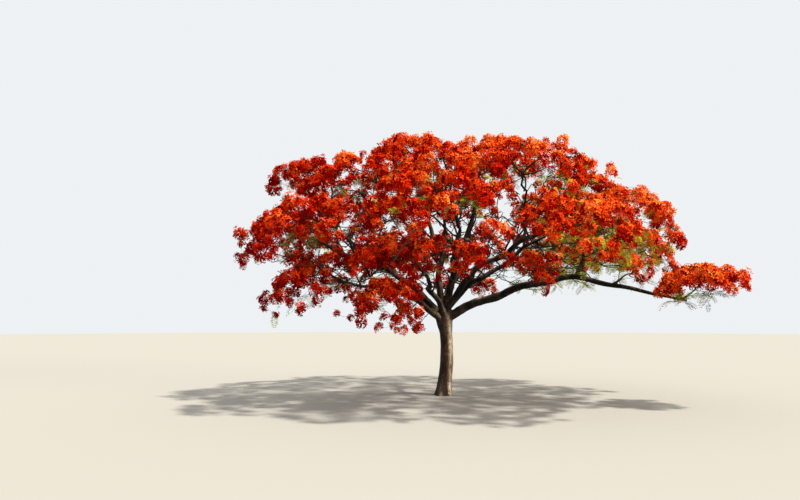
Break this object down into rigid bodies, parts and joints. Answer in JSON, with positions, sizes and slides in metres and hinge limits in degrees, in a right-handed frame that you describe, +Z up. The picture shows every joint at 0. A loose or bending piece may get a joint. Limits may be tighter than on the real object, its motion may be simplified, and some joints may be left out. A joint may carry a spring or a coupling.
{
  "type": "flame tree",
  "caption": "Wide umbrella-crowned flame tree in full red blossom: a short flared trunk forks low into arching boughs, each ending in a flat mass of twigs, blossom trusses and feathery leaves.",
  "frame": {"origin": "the middle of the flat cut under the trunk, at ground level", "axes": "+Z up along the trunk, +X to the right of the tree as seen from its best side, along the crown's longest way, +Y away from that side"},
  "size_m": [10.2932, 9.309, 5.7679],
  "materials": {
    "bark": "rough, finely ridged, tan-grey to dark brown",
    "blossom": "soft matt orange-red petals",
    "leaf": "soft matt yellow-green leaflets"
  },
  "bodies": {
    "root": {"blossom_crest_0": "blossom", "blossom_crest_1": "blossom", "blossom_crest_2": "blossom", "blossom_crest_3": "blossom", "blossom_far_right": "blossom", "blossom_front": "blossom", "blossom_hanging_left": "blossom", "blossom_low_left": "blossom", "blossom_middle_right": "blossom", "blossom_rim_0": "blossom", "blossom_rim_1": "blossom", "blossom_rim_2": "blossom", "blossom_rim_3": "blossom", "blossom_rim_4": "blossom", "blossom_rim_5": "blossom", "blossom_rim_6": "blossom", "blossom_rim_7": "blossom", "blossom_rim_8": "blossom", "blossom_rim_9": "blossom", "blossom_shoulder_0": "blossom", "blossom_shoulder_1": "blossom", "blossom_shoulder_2": "blossom", "blossom_shoulder_3": "blossom", "blossom_shoulder_4": "blossom", "blossom_shoulder_5": "blossom", "blossom_shoulder_6": "blossom", "blossom_shoulder_7": "blossom", "blossom_skirt_left": "blossom", "blossom_upper_left": "blossom", "bough_crest_0": "bark", "bough_crest_1": "bark", "bough_crest_2": "bark", "bough_crest_3": "bark", "bough_far_right": "bark", "bough_front": "bark", "bough_hanging_left": "bark", "bough_low_left": "bark", "bough_middle_right": "bark", "bough_rim_0": "bark", "bough_rim_1": "bark", "bough_rim_2": "bark", "bough_rim_3": "bark", "bough_rim_4": "bark", "bough_rim_5": "bark", "bough_rim_6": "bark", "bough_rim_7": "bark", "bough_rim_8": "bark", "bough_rim_9": "bark", "bough_shoulder_0": "bark", "bough_shoulder_1": "bark", "bough_shoulder_2": "bark", "bough_shoulder_3": "bark", "bough_shoulder_4": "bark", "bough_shoulder_5": "bark", "bough_shoulder_6": "bark", "bough_shoulder_7": "bark", "bough_skirt_left": "bark", "bough_upper_left": "bark", "trunk": "bark"}
  },
  "joints": []
}
